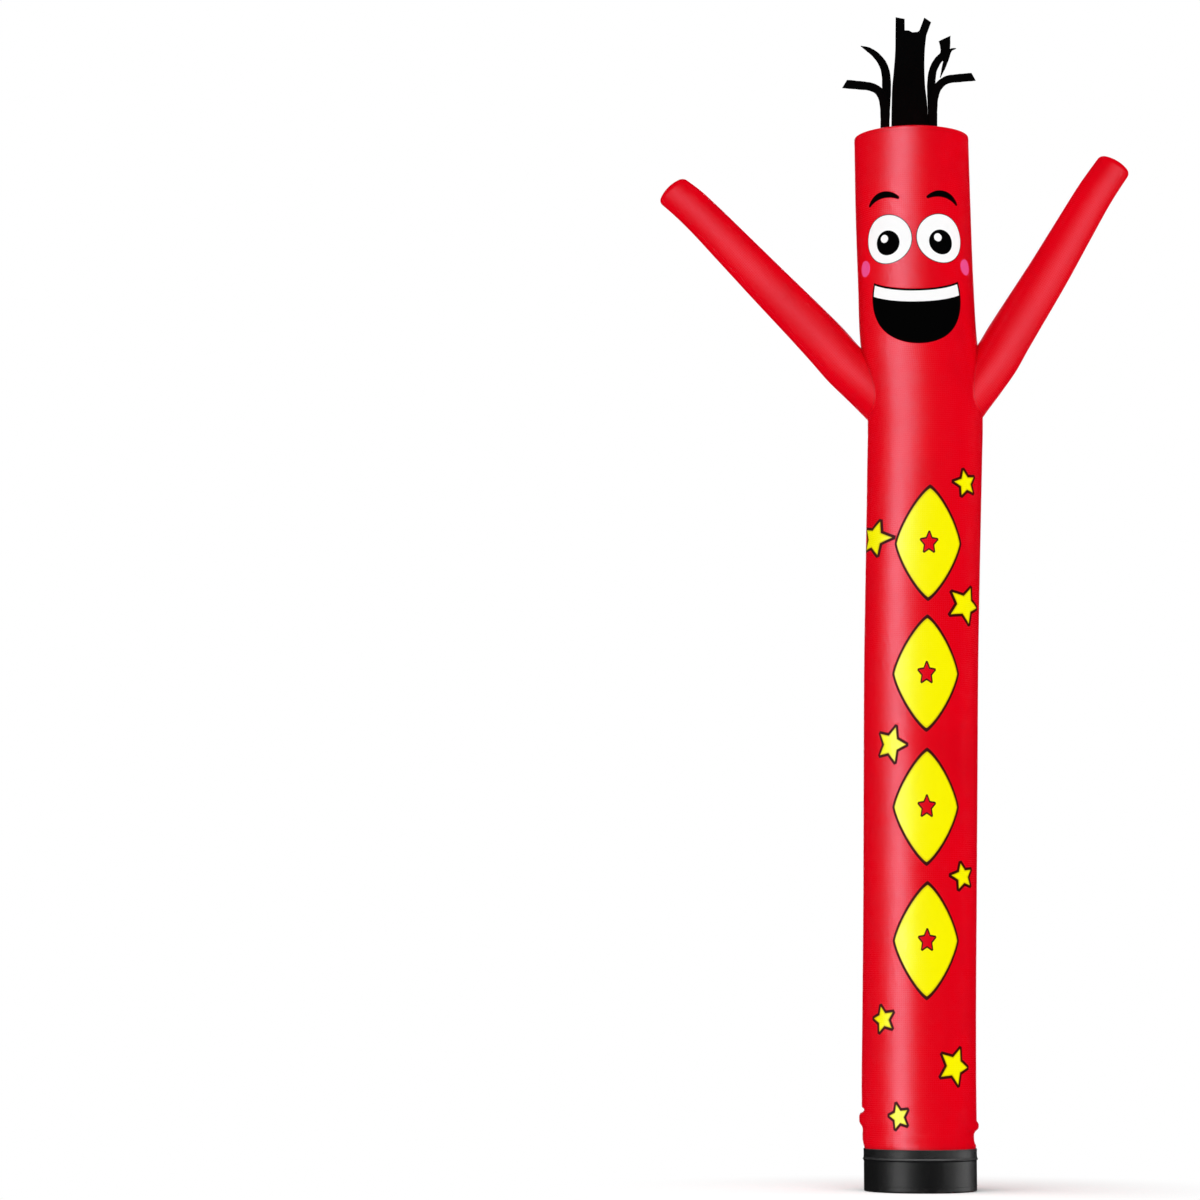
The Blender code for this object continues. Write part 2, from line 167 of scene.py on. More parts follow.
def stitchRow(name, path, outward, stitch, material, closed=True):
    # short beads of thread laid along a path, half sunk into the cloth
    if closed:
        path, outward = np.vstack([path, path[:1]]), np.vstack([outward, outward[:1]])
    runs = runsAlong(path)
    count = int(runs[-1] / stitch["pitch"])
    at = (np.arange(count) + 0.5) * runs[-1] / count

    def sample(values, where):
        return np.stack([np.interp(where, runs, column) for column in values.T], 1)

    def reaching(directions, amounts):
        return directions[:, None, None] * amounts[..., None]

    ahead = unit(sample(path, at + stitch["length"] / 4) - sample(path, at - stitch["length"] / 4))
    up = sample(outward, at)
    up = unit(up - ahead * (up * ahead).sum(1)[:, None])
    share, fat = np.array(beadProfile).T[..., None]
    turn = 2 * math.pi * np.arange(beadSides) / beadSides
    points = (
        sample(path, at)[:, None, None] + reaching(ahead, stitch["length"] * share + 0 * turn)
        + reaching(up, stitch["radius"] * (beadLift - beadBow * share**2 + fat * np.cos(turn)))
        + reaching(np.cross(ahead, up), stitch["radius"] * fat * np.sin(turn)))
    faces = []
    rings = len(beadProfile)
    for first in range(0, count * rings * beadSides, rings * beadSides):
        for base in range(first, first + (rings - 1) * beadSides, beadSides):
            for k in range(beadSides):
                j = (k + 1) % beadSides
                faces.append([base + k, base + j, base + beadSides + j, base + beadSides + k])
        faces.append([first + k for k in range(beadSides)][::-1])
        faces.append([first + (rings - 1) * beadSides + k for k in range(beadSides)])
    return dress(addMesh(name, points.reshape(-1, 3), faces), material)


def setInputs(node, inputs):
    for socket, value in inputs.items():
        if isinstance(value, bpy.types.NodeSocket):
            node.id_data.links.new(value, node.inputs[socket])
        else:
            node.inputs[socket].default_value = value


def addNode(tree, kind, inputs=None, **settings):
    node = tree.nodes.new("ShaderNode" + kind)
    for key, value in settings.items():
        setattr(node, key, value)
    setInputs(node, inputs or {})
    return node


def nodeAfter(kind, inputs, **settings):
    # a node in the same material or group as what feeds it
    tree = next(value.id_data for value in inputs.values() if isinstance(value, bpy.types.NodeSocket))
    return addNode(tree, kind, inputs, **settings)


def maths(operation, *values):
    return nodeAfter("Math", dict(enumerate(values)), operation=operation).outputs[0]


def plus(a, b):
    return maths("ADD", a, b)


def minus(a, b):
    return maths("SUBTRACT", a, b)


def times(a, b):
    return maths("MULTIPLY", a, b)


def larger(a, b):
    return maths("MAXIMUM", a, b)


def weighed(first, firstShare, second, secondShare):
    return plus(times(first, firstShare), times(second, secondShare))


def nearestOf(distances):
    found = distances[0]
    for distance in distances[1:]:
        found = maths("MINIMUM", found, distance)
    return found


def vectorMaths(operation, *values):
    node = nodeAfter("VectorMath", dict(enumerate(values)), operation=operation)
    return node.outputs["Value" if operation in ("LENGTH", "DISTANCE") else "Vector"]


def parts(vector):
    return nodeAfter("SeparateXYZ", {0: vector}).outputs


def joinedUp(x, y):
    return nodeAfter("CombineXYZ", {"X": x, "Y": y}).outputs[0]


def ramp(value, start, end, low=0.0, high=1.0, kind="SMOOTHSTEP"):
    inputs = {"Value": value, "From Min": start, "From Max": end, "To Min": low, "To Max": high}
    return nodeAfter("MapRange", inputs, interpolation_type=kind).outputs["Result"]


def mixColour(factor, first, second):
    return nodeAfter("Mix", {0: factor, 6: first, 7: second}, data_type="RGBA").outputs[2]


def inked(colour, distance, inkColour, beyond=0.0, soft=0.0005):
    # lays ink wherever the distance is less than beyond
    return mixColour(ramp(distance, beyond - soft, beyond + soft, 1.0, 0.0), colour, inkColour)


def noise(vector, scale, detail, roughness):
    inputs = {"Vector": vector, "Scale": scale, "Detail": detail, "Roughness": roughness}
    return nodeAfter("TexNoise", inputs).outputs[0]


def newGroup(name, inputs, outputs):
    group = bpy.data.node_groups.new(name, "ShaderNodeTree")
    for socket in inputs:
        kind = "NodeSocketVector" if socket in ("Place", "Centre", "Half") else "NodeSocketFloat"
        group.interface.new_socket(socket, in_out="INPUT", socket_type=kind)
    for socket in outputs:
        group.interface.new_socket(socket, in_out="OUTPUT", socket_type="NodeSocketFloat")
    return group, group.nodes.new("NodeGroupInput").outputs, group.nodes.new("NodeGroupOutput").inputs


def useGroup(group, **inputs):
    return nodeAfter("Group", inputs, node_tree=group).outputs


shapeCut = {
    "starTips": 5,
    "starValley": 0.5,  # the inner corners' radius as a share of the tips'
    "starSlim": 0.78,  # its width as a share of a regular star's
    "lozengeFullness": 1.25,  # 1 is a straight diamond and 2 an oval
    "lozengeScale": 0.92,  # evens out the width of a line round it
}


def starDistance(given, offset):
    # drawn wider the further round the tube it sits
    turned = maths("COSINE", maths("DIVIDE", parts(given["Centre"])["X"], clothPerRadian))
    squeeze = joinedUp(maths("DIVIDE", turned, shapeCut["starSlim"]), 1.0)
    squeezed = vectorMaths("MULTIPLY", offset, squeeze)
    spot, reach = parts(squeezed), vectorMaths("LENGTH", squeezed)
    angle = minus(maths("ARCTAN2", spot["X"], spot["Y"]), given["Turn"])
    halfStep = math.pi / shapeCut["starTips"]
    folded = maths("PINGPONG", angle, halfStep)
    # the edge from a tip to the next inner corner
    edge = Vector((math.cos(halfStep), math.sin(halfStep))) * shapeCut["starValley"] - Vector((1.0, 0.0))
    lean = math.atan2(-edge.x, edge.y)
    toEdge = times(reach, maths("COSINE", minus(folded, lean)))
    pointed = minus(toEdge, times(given["Size"], math.cos(lean)))
    # a line round it ends in blunt tips
    return larger(pointed, minus(reach, given["Size"]))


def lozengeDistance(given, offset):
    full = shapeCut["lozengeFullness"]
    shares = parts(vectorMaths("ABSOLUTE", vectorMaths("DIVIDE", offset, given["Half"])))
    total = plus(maths("POWER", shares["X"], full), maths("POWER", shares["Y"], full))
    beyond = minus(maths("POWER", total, 1 / full), 1.0)
    scale = times(parts(given["Half"])["X"], shapeCut["lozengeScale"])
    return times(beyond, scale)


def discDistance(given, offset):
    return minus(vectorMaths("LENGTH", offset), given["Radius"])


def strokeDistance(given, offset):
    # a bowed stroke round its centre; Taper 0 keeps its width and 1 ends it in points
    spot, half, radius = parts(offset), given["HalfAngle"], given["Radius"]
    turned = minus(maths("ARCTAN2", spot["X"], spot["Y"]), given["Turn"])
    turned = maths("MINIMUM", maths("WRAP", turned, math.pi, -math.pi), half)
    nearest = larger(turned, times(half, -1.0))
    angle = plus(nearest, given["Turn"])
    point = joinedUp(times(maths("SINE", angle), radius), times(maths("COSINE", angle), radius))
    share = maths("DIVIDE", nearest, half)
    narrowing = times(times(share, share), given["Taper"])
    width = times(given["HalfWidth"], minus(1.0, narrowing))
    return minus(vectorMaths("DISTANCE", offset, point), width)


def makeShape(name, sizes, distanceTo):
    # a group that gives the distance from Place to a shape's outline, negative inside
    group, given, result = newGroup(name, ("Place", "Centre") + sizes, ("Distance",))
    offset = vectorMaths("SUBTRACT", given["Place"], given["Centre"])
    group.links.new(distanceTo(given, offset), result["Distance"])
    return group


starShape = makeShape("star", ("Size", "Turn"), starDistance)
lozengeShape = makeShape("roundedLozenge", ("Half",), lozengeDistance)
discShape = makeShape("disc", ("Radius",), discDistance)
strokeShape = makeShape("bowedStroke", ("Radius", "HalfAngle", "Turn", "HalfWidth", "Taper"), strokeDistance)

# a ridge starts at lineFrom from a cell's middle, as a share of the cell; heights are in metres
weaveCut = {"lineFrom": 0.4, "ridgeHeight": 0.00007, "threadHeight": 0.00002, "ridgeTone": 0.7}


def makeWeave():
    # Place is metres on the flat cloth; Height is metres of relief and Tone is 0 to 1
    group, given, result = newGroup("ripstopWeave", ("Place", "Grid", "Thread"), ("Height", "Tone"))
    spot = parts(given["Place"])
    lines, threads = [], []
    for axis in ("X", "Y"):
        cell = maths("FRACT", maths("DIVIDE", spot[axis], given["Grid"]))
        lines.append(ramp(maths("ABSOLUTE", minus(cell, 0.5)), weaveCut["lineFrom"], 0.5))
        phase = times(maths("DIVIDE", spot[axis], given["Thread"]), math.pi)
        threads.append(maths("SINE", phase))
    ridge, over = larger(*lines), times(*threads)
    relief = weighed(ridge, weaveCut["ridgeHeight"], over, weaveCut["threadHeight"])
    tone = weighed(ridge, weaveCut["ridgeTone"], over, 1 - weaveCut["ridgeTone"])
    group.links.new(relief, result["Height"])
    group.links.new(tone, result["Tone"])
    return group


weave = makeWeave()


def newMaterial(name):
    material = bpy.data.materials.new(name)
    material.use_nodes = True
    return material, material.node_tree, material.node_tree.nodes["Principled BSDF"]


def clothMaterial(name, finish, prints=None):
    material, tree, shader = newMaterial(name)
    place = addNode(tree, "UVMap", uv_map="cloth").outputs[0]
    objectPlace = addNode(tree, "TexCoord").outputs["Object"]
    woven = useGroup(weave, Place=place, Grid=finish["grid"], Thread=finish["thread"])
    dye = noise(objectPlace, finish["dyeScale"], 4.0, 0.55)
    crinkle = noise(objectPlace, finish["crinkleScale"], 5.0, 0.6)

    deep = tuple(c * finish["deepShare"] for c in finish["colour"]) + (1.0,)
    colour = mixColour(ramp(dye, 0.35, 0.75), finish["colour"] + (1.0,), deep)
    colour = mixColour(times(woven["Tone"], finish["weaveTone"]), colour, deep)
    uneven = weighed(dye, 0.6, woven["Tone"], 0.4)
    rough = ramp(uneven, 0.2, 0.8, finish["rough"] - 0.04, finish["rough"] + 0.05, "LINEAR")
    gloss = finish["gloss"]
    if prints:  # some of the ink is matt
        colour, matt = prints(place, colour)
        rough = plus(rough, times(matt, finish["inkMatt"]))
        gloss = ramp(matt, 0.0, 1.0, gloss, 0.0, "LINEAR")
    if "dust" in finish:  # pale rub marks low down, where it stands
        dust = finish["dust"]
        low = ramp(parts(objectPlace)["Z"], 0.0, dust["reach"], 1.0, 0.0)
        patches = ramp(noise(objectPlace, dust["scale"], 6.0, 0.7), 0.48, 0.72)
        rubbed = times(times(low, patches), dust["amount"])
        colour = mixColour(rubbed, colour, dust["colour"] + (1.0,))
    relief = weighed(woven["Height"], finish["relief"], crinkle, finish["crinkle"])
    bump = nodeAfter("Bump", {"Height": relief, "Strength": 1.0, "Distance": 1.0}).outputs[0]
    setInputs(shader, {"Base Color": colour, "Roughness": rough, "Normal": bump, "Specular IOR Level": gloss})
    return material


# places are metres of cloth to the right of the front's middle, then metres above the floor
printInks = {
    "yellow": (1.0, 0.93, 0.0, 1.0),
    "yellowEdge": (0.8, 0.66, 0.0, 1.0),
    "outline": (0.042, 0.0025, 0.0018, 1.0),
    "black": (0.0012, 0.0012, 0.0012, 1.0),
    "white": (0.98, 0.98, 0.98, 1.0),
    "pink": (0.83, 0.085, 0.285, 1.0),
    "outlineMatt": 0.7,
}
starPrint = {
    "outline": 0.0074,
    "edgeShade": 0.003,
    "edgeSoft": 0.0022,  # how softly that shade ends
    # across, up, size, turn in degrees
    "places": (
        (0.122, 1.882, 0.035, -15), (-0.156, 1.738, 0.0465, 22), (0.13, 1.554, 0.05, 21),
        (-0.083, 1.18, 0.048, 20), (0.129, 0.83, 0.035, -14), (-0.103, 0.453, 0.0348, -14),
        (0.102, 0.33, 0.0495, 22), (-0.055, 0.199, 0.0328, -14),
    ),
}
lozengePrint = {
    "half": (0.088, 0.146, 1.0),
    "outline": 0.006,
    "centres": ((0.016, 1.717), (0.015, 1.368), (0.017, 1.013), (0.02, 0.66)),
    "starSize": 0.028,
    "starOutline": 0.0045,
}
facePrint = {
    # across, up, radius: pairs
    "eyes": (0.073, 2.545, 0.066),
    "eyeOutline": 0.0022,
    "pupils": (0.073, 2.535, 0.034),
    "glints": (0.073, 2.547, 0.011),
    "glintShift": -0.009,
    "cheeks": (0.158, 2.476, 0.022),
    "brows": (0.077, 2.602, 0.066),
    "brow": {"HalfAngle": math.radians(42), "HalfWidth": 0.0092, "Taper": 0.55},
    "browTurn": math.radians(8),
    # the mouth is a disc below the lip's wide bow, with a white band along its top
    "mouth": (0.0, 2.386, 0.13),
    "lip": (0.0, 2.704, 0.299),
    "teeth": (0.0, 2.704, 0.334),
    "teethInset": 0.0055,
}


def bodyPrint(place, cloth):
    def shape(kind, across, up, **sizes):
        return useGroup(kind, Place=place, Centre=(across, up, 0), **sizes)["Distance"]

    def starsAt(rows):
        return nearestOf([
            shape(starShape, across, up, Size=size, Turn=math.radians(turn))
            for across, up, size, turn in rows])

    def disc(across, up, radius):
        return shape(discShape, across, up, Radius=radius)

    def discPair(part, shift=0.0):
        across, up, radius = facePrint[part]
        return nearestOf([disc(side * across + shift, up, radius) for side in (-1, 1)])

    def outlineOf(distance, width):
        return larger(times(distance, -1.0), minus(distance, width))

    def yellowShape(colour, distance, outline):
        colour = inked(colour, distance, printInks["outline"], outline)
        colour = inked(colour, distance, printInks["yellowEdge"])
        return inked(colour, distance, printInks["yellow"], -starPrint["edgeShade"], starPrint["edgeSoft"])

    # the column of big lozenges, each with a star left open in it, and the small stars round them
    centres = lozengePrint["centres"]
    lozenges = nearestOf([
        shape(lozengeShape, across, up, Half=lozengePrint["half"]) for across, up in centres])
    opened = starsAt([(across, up, lozengePrint["starSize"], 0) for across, up in centres])
    stars = starsAt(starPrint["places"])
    colour = yellowShape(cloth, lozenges, lozengePrint["outline"])
    colour = inked(colour, opened, printInks["outline"], lozengePrint["starOutline"])
    colour = inked(colour, opened, cloth)
    colour = yellowShape(colour, stars, starPrint["outline"])
    outlines = nearestOf([
        outlineOf(lozenges, lozengePrint["outline"]), outlineOf(stars, starPrint["outline"]),
        outlineOf(opened, lozengePrint["starOutline"])])

    # a plain cheerful face
    eyes, cheeks = discPair("eyes"), discPair("cheeks")
    across, up, radius = facePrint["brows"]
    brows = nearestOf([
        shape(strokeShape, side * across, up, Radius=radius, Turn=side * facePrint["browTurn"],
              **facePrint["brow"]) for side in (-1, 1)])
    smile = larger(disc(*facePrint["mouth"]), times(disc(*facePrint["lip"]), -1.0))
    teeth = larger(disc(*facePrint["teeth"]), plus(smile, facePrint["teethInset"]))
    colour = inked(colour, eyes, printInks["black"], facePrint["eyeOutline"])
    for distance, ink in (
            (eyes, "white"), (discPair("pupils"), "black"),
            (discPair("glints", facePrint["glintShift"]), "white"),
            (brows, "black"), (smile, "black"), (teeth, "white"), (cheeks, "pink")):
        colour = inked(colour, distance, printInks[ink])
    faceInk = ramp(nearestOf([eyes, brows, smile, cheeks]), 0.0, 0.002, 1.0, 0.0)
    outlineInk = ramp(outlines, 0.0, 0.001, printInks["outlineMatt"], 0.0)
    return colour, larger(faceInk, outlineInk)


redNylon = {
    "colour": (0.81, 0.0003, 0.0082), "deepShare": 0.9, "rough": 0.3, "gloss": 0.5,
    "grid": 0.0056, "thread": 0.00045, "relief": 1.0, "weaveTone": 0.35,
    "dyeScale": 5.0, "crinkleScale": 38.0, "crinkle": 0.00025, "inkMatt": 0.45,
}
coatedCloth = {
    "colour": (0.0075, 0.0075, 0.0078), "deepShare": 0.8, "rough": 0.36, "gloss": 0.55,
    "grid": 0.0034, "thread": 0.00085, "relief": 1.2, "weaveTone": 0.4,
    "dyeScale": 9.0, "crinkleScale": 30.0, "crinkle": 0.0004,
    "dust": {"reach": 0.018, "amount": 0.35, "scale": 90.0, "colour": (0.09, 0.085, 0.08)},
}
wovenBand = {
    "colour": (0.007, 0.007, 0.0074), "deepShare": 0.6, "rough": 0.31, "gloss": 0.7,
    "grid": 0.0022, "thread": 0.0011, "relief": 2.2, "weaveTone": 0.6,
    "dyeScale": 14.0, "crinkleScale": 60.0, "crinkle": 0.0002,
}
hairNylon = {
    "colour": (0.0018, 0.0018, 0.0019), "deepShare": 0.8, "rough": 0.55, "gloss": 0.25,
    "grid": 0.005, "thread": 0.00045, "relief": 1.0, "weaveTone": 0.4,
    "dyeScale": 12.0, "crinkleScale": 70.0, "crinkle": 0.0005,
}
redThread = {
    "colour": (0.52, 0.004, 0.01), "deepShare": 0.7, "rough": 0.5, "gloss": 0.4,
    "grid": 0.001, "thread": 0.0004, "relief": 1.0, "weaveTone": 0.3,
    "dyeScale": 60.0, "crinkleScale": 400.0, "crinkle": 0.00004,
}
blackThread = dict(redThread, colour=(0.016, 0.016, 0.017), rough=0.48)

redMaterial = clothMaterial("plain red nylon", redNylon)
printedMaterial = clothMaterial("printed red nylon", redNylon, bodyPrint)
sleeveMaterial = clothMaterial("coated black cloth", coatedCloth)
bandMaterial = clothMaterial("black woven band", wovenBand)
hairMaterial = clothMaterial("matt black nylon", hairNylon)
redThreadMaterial = clothMaterial("red sewing thread", redThread)
blackThreadMaterial = clothMaterial("black sewing thread", blackThread)
print("materials made:", len(bpy.data.materials))

tube = {
    "wall": 0.0012,
    "columns": 144,
    # height, sway, radius
    "sections": (
        (0.086, 0.0, 0.1466), (0.11, 0.0, 0.1467), (0.118, 0.0, 0.1492), (0.15, -0.0005, 0.1512),
        (0.19, -0.0015, 0.1524), (0.26, -0.0018, 0.1526), (0.45, 0.0005, 0.1518), (0.8, 0.0062, 0.152),
        (1.1, 0.0104, 0.153), (1.4, 0.0148, 0.1538), (1.7, 0.0225, 0.1545), (1.95, 0.0293, 0.1556),
        (2.07, 0.032, 0.1562), (2.18, 0.0275, 0.1582), (2.3, 0.0155, 0.1586), (2.45, 0.0098, 0.1572),
        (2.65, 0.0046, 0.157), (2.85, 0.0016, 0.1559),
    ),
    # uneven puckers over the sleeve, and one under the left arm:
    # degrees from the right side, height, swell, half width in degrees, half height
    "puckers": (
        (180, 0.213, -0.0062, 20, 0.0055), (178, 0.189, 0.0076, 22, 0.017), (186, 0.142, 0.0016, 24, 0.013),
        (2, 0.171, 0.0052, 20, 0.0105), (-2, 0.14, -0.0074, 22, 0.018), (30, 0.186, 0.0024, 16, 0.016),
        (62, 0.152, -0.0022, 12, 0.014), (88, 0.174, 0.0026, 14, 0.018), (116, 0.148, -0.0024, 12, 0.012),
        (142, 0.172, 0.0024, 14, 0.014), (212, 0.156, -0.0018, 12, 0.012), (238, 0.176, 0.0014, 14, 0.016),
        (268, 0.142, -0.0012, 14, 0.01), (300, 0.166, 0.0014, 14, 0.016), (330, 0.15, -0.0018, 12, 0.012),
        (180, 2.0965, -0.005, 20, 0.008),
    ),
    "rings": (0.086, (0.118, 8), (0.235, 46), (0.3, 12), (1.96, 66), (2.06, 14), (2.16, 24), (2.38, 30),
              (2.82, 20), (2.85, 10)),
    # fine gathers just over the band: swell, height, half height, how many round it
    "gathers": (0.0003, 0.122, 0.02, (47, 31)),
    "seamWidth": 0.011,  # the lapped seam down the back
    "seamHeight": 0.0009,
    "seamEdge": 0.0012,  # width of the step at each side of it
    "flat": (0.985, 2.79),
}
tubeTop = tube["rings"][-1][0]


def tubeRadius(angle, height):
    # outer radius of the air-filled tube, puckers and the back seam included
    radius = smoothCurve(tube["sections"], height)[1]
    for atAngle, atHeight, swell, halfWidth, halfHeight in tube["puckers"]:
        turn = (np.degrees(angle) - 90 - atAngle + 180) % 360 - 180
        radius = radius + swell * np.exp(-((turn / halfWidth) ** 2) - ((height - atHeight) / halfHeight) ** 4)
    swell, atHeight, halfHeight, (many, fewer) = tube["gathers"]
    gathers = np.cos(many * angle + 2 * np.sin(3 * angle)) + 0.6 * np.cos(fewer * angle + 1.3)
    radius = radius + swell * gathers * np.exp(-(((height - atHeight) / halfHeight) ** 2))
    fromSeam = np.abs(np.abs(angle) - math.pi) * clothPerRadian
    return radius + tube["seamHeight"] * np.clip((tube["seamWidth"] / 2 - fromSeam) / tube["seamEdge"], 0, 1)


def tubeX(height):
    return footX + smoothCurve(tube["sections"], height)[0]


def tubePoints(angle, height, inset=0.0):
    reach = tubeRadius(angle, height) - inset
    return np.stack([tubeX(height) + reach * np.sin(angle), -reach * np.cos(angle), height], -1)


def tubeColumns():
    # even, with closer ones where the back seam's edges step down
    half, step = tube["seamWidth"] / 2 / clothPerRadian, tube["seamEdge"] / clothPerRadian
    even = np.linspace(-math.pi, math.pi, tube["columns"] + 1)[1:-1]
    even = even[np.abs(even) < math.pi - half - 0.02]
    seam = np.array([half + step * 0.6, half, half - step, half / 2])
    return np.concatenate([[-math.pi], -math.pi + seam[::-1], even, math.pi - seam])


arms = {
    "armLeft": {
        "node": "arm_left", "root": (-0.1282, 2.1742), "tip": (-0.6548, 2.7311), "depth": (0.0652, 0.048),
        # share of the length, then how far the cloth lies below and above the straight line from root to tip
        "edges": ((-0.22, 0.0648, 0.0582), (0.0, 0.0662, 0.058), (0.1, 0.0682, 0.0583), (0.2, 0.0641, 0.0622),
                  (0.3, 0.0612, 0.0614), (0.5, 0.0574, 0.0576), (0.7, 0.0527, 0.0542), (0.85, 0.0498, 0.0511),
                  (0.91, 0.0508, 0.0488), (1.0, 0.056, 0.0385)),
        "flat": (0.43, 0.86), "area": 0.29584,
    },
    "armRight": {
        "node": "arm_right", "root": (0.1845, 2.1785), "tip": (0.5544, 2.7751), "depth": (0.0645, 0.0472),
        "edges": ((-0.22, 0.0555, 0.0615), (-0.12, 0.0563, 0.0615), (0.0, 0.0634, 0.0606),
                  (0.1, 0.0678, 0.0586), (0.2, 0.0652, 0.0592), (0.3, 0.0635, 0.0575),
                  (0.5, 0.0601, 0.0538), (0.7, 0.0529, 0.0528),
                  (0.86, 0.048, 0.0514), (1.0, 0.0502, 0.0442)),
        "flat": (0.43, 0.8), "area": 0.2752,
    },
}
armCut = {
    "wall": 0.0012,
    "columns": 72,
    "rings": 96,
    # share of the length, depth over height: the root is cut wider from front to back
    "flare": ((-0.22, 1.42), (-0.12, 1.4), (-0.04, 1.34), (0.04, 1.24), (0.12, 1.13), (0.22, 1.04),
              (0.36, 1.0), (0.52, 1.0), (0.68, 1.0), (0.84, 1.0)),
    "tipCorner": 0.016,
    "tipTurn": math.radians(62),  # how far the corner turns before the dome
    "tipRise": 0.0058,
    "tipRings": 14,
    "holeInset": 0.006,  # from the arm's face to the edge of the hole in the tube
    "holeReach": 0.2,  # metres along the arm to either side of its root
    "halvings": 40,  # steps of the search for the seam
    "seamWithin": (-0.18, 0.35),  # metres from the root
}


def armLine(arm):
    root, tip = [np.array([footX + arm[end][0], 0.0, arm[end][1]]) for end in ("root", "tip")]
    length = np.linalg.norm(tip - root)
    ahead = (tip - root) / length
    under = np.array([-ahead[2], 0.0, ahead[0]]) * -np.sign(ahead[0])
    return root, length, ahead, under


def armSection(arm, share):
    # half height, half depth and how far the middle hangs below the straight line
    below, above = smoothCurve(arm["edges"], share)
    rootDepth, tipDepth = arm["depth"]
    deep = rootDepth + (tipDepth - rootDepth) * np.clip(share, 0, 1)
    return (below + above) / 2, deep * smoothCurve(armCut["flare"], share)[0], (below - above) / 2


def armPoints(arm, turn, distance, inset=0.0):
    # turn goes round the arm from its underside; distance is from the root towards the tip
    root, length, ahead, under = armLine(arm)
    high, deep, hang = armSection(arm, distance / length)
    # the tip is a rounded corner, then a shallow dome
    corner, edge = armCut["tipCorner"] - inset, length - armCut["tipCorner"]
    reach, cornerEnd = corner + armCut["tipRise"], corner * math.sin(armCut["tipTurn"])
    past = np.maximum(distance - edge, 0) * reach / (reach + inset)
    onCorner = corner - np.sqrt(np.maximum(corner**2 - np.minimum(past, cornerEnd) ** 2, 0))
    domeStart = corner - corner * math.cos(armCut["tipTurn"])
    left = np.sqrt(np.clip((reach - past) / (reach - cornerEnd), 0, 1))

    def drawnIn(half):
        return np.where(past <= cornerEnd, half - inset - onCorner, (half - inset - domeStart) * left)

    middle = root + ahead * (np.minimum(distance, edge) + past)[..., None] + under * hang[..., None]
    back = np.array([0.0, 1.0, 0.0])
    return (middle + under * (drawnIn(high) * np.cos(turn))[..., None]
            + back * (drawnIn(deep) * np.sin(turn))[..., None])


def outsideTube(points):
    # how far points stand out from the tube's face
    x = points[..., 0] - tubeX(points[..., 2])
    return np.hypot(x, points[..., 1]) - tubeRadius(np.arctan2(x, -points[..., 1]), points[..., 2])


def seamDistance(arm, turn):
    # where each line along the arm meets the tube
    near, far = [np.full(turn.shape, end) for end in armCut["seamWithin"]]
    for step in range(armCut["halvings"]):
        middle = (near + far) / 2
        out = outsideTube(armPoints(arm, turn, middle)) > gap
        far, near = np.where(out, middle, far), np.where(out, near, middle)
    return (near + far) / 2


def inArmhole(points):
    # true where a point of the tube's wall lies in an arm's bore
    inside = np.zeros(points.shape[:-1], bool)
    for arm in arms.values():
        root, length, ahead, under = armLine(arm)
        along, down = (points - root) @ ahead, (points - root) @ under
        high, deep, hang = armSection(arm, along / length)
        high, deep = high - armCut["holeInset"], deep - armCut["holeInset"]
        near = ((down - hang) / high) ** 2 + (points[..., 1] / deep) ** 2 < 1
        inside |= near & (np.abs(along) < armCut["holeReach"])
    return inside


def makeTube():
    angles, heights = tubeColumns(), spread(*tube["rings"])
    outside, inside = [tubePoints(*np.meshgrid(angles, heights), inset) for inset in (0.0, tube["wall"])]
    nextAngles = np.append(angles, math.pi)
    middles = tubePoints(*np.meshgrid((angles + nextAngles[1:]) / 2, (heights[1:] + heights[:-1]) / 2))
    across, along = np.meshgrid(nextAngles * clothPerRadian, heights)
    return clothMesh("bodyTube", outside, inside, across, along, keep=~inArmhole(middles))


def makeArm(name, arm):
    turns = -np.linspace(0, 2 * math.pi, armCut["columns"] + 1)
    start, edge = seamDistance(arm, turns), armLine(arm)[1] - armCut["tipCorner"]
    tipAngles = np.linspace(0, math.pi / 2, armCut["tipRings"] + 1)[1:-1, None]
    distance = np.vstack([
        start + (edge - start) * np.linspace(0, 1, armCut["rings"])[:, None],
        edge + (armCut["tipCorner"] + armCut["tipRise"]) * np.sin(tipAngles) + 0 * turns])
    turns = np.broadcast_to(turns, distance.shape)
    outside, inside = [armPoints(arm, turns, distance, inset)[:, :-1] for inset in (0.0, armCut["wall"])]
    return clothMesh(name, outside, inside, -turns * sum(arm["depth"]) / 2, distance, capEnd=True)


dress(makeTube(), printedMaterial, "body_tube")
for name, arm in arms.items():
    dress(makeArm(name, arm), redMaterial, arm["node"])
print("tube and arms made")

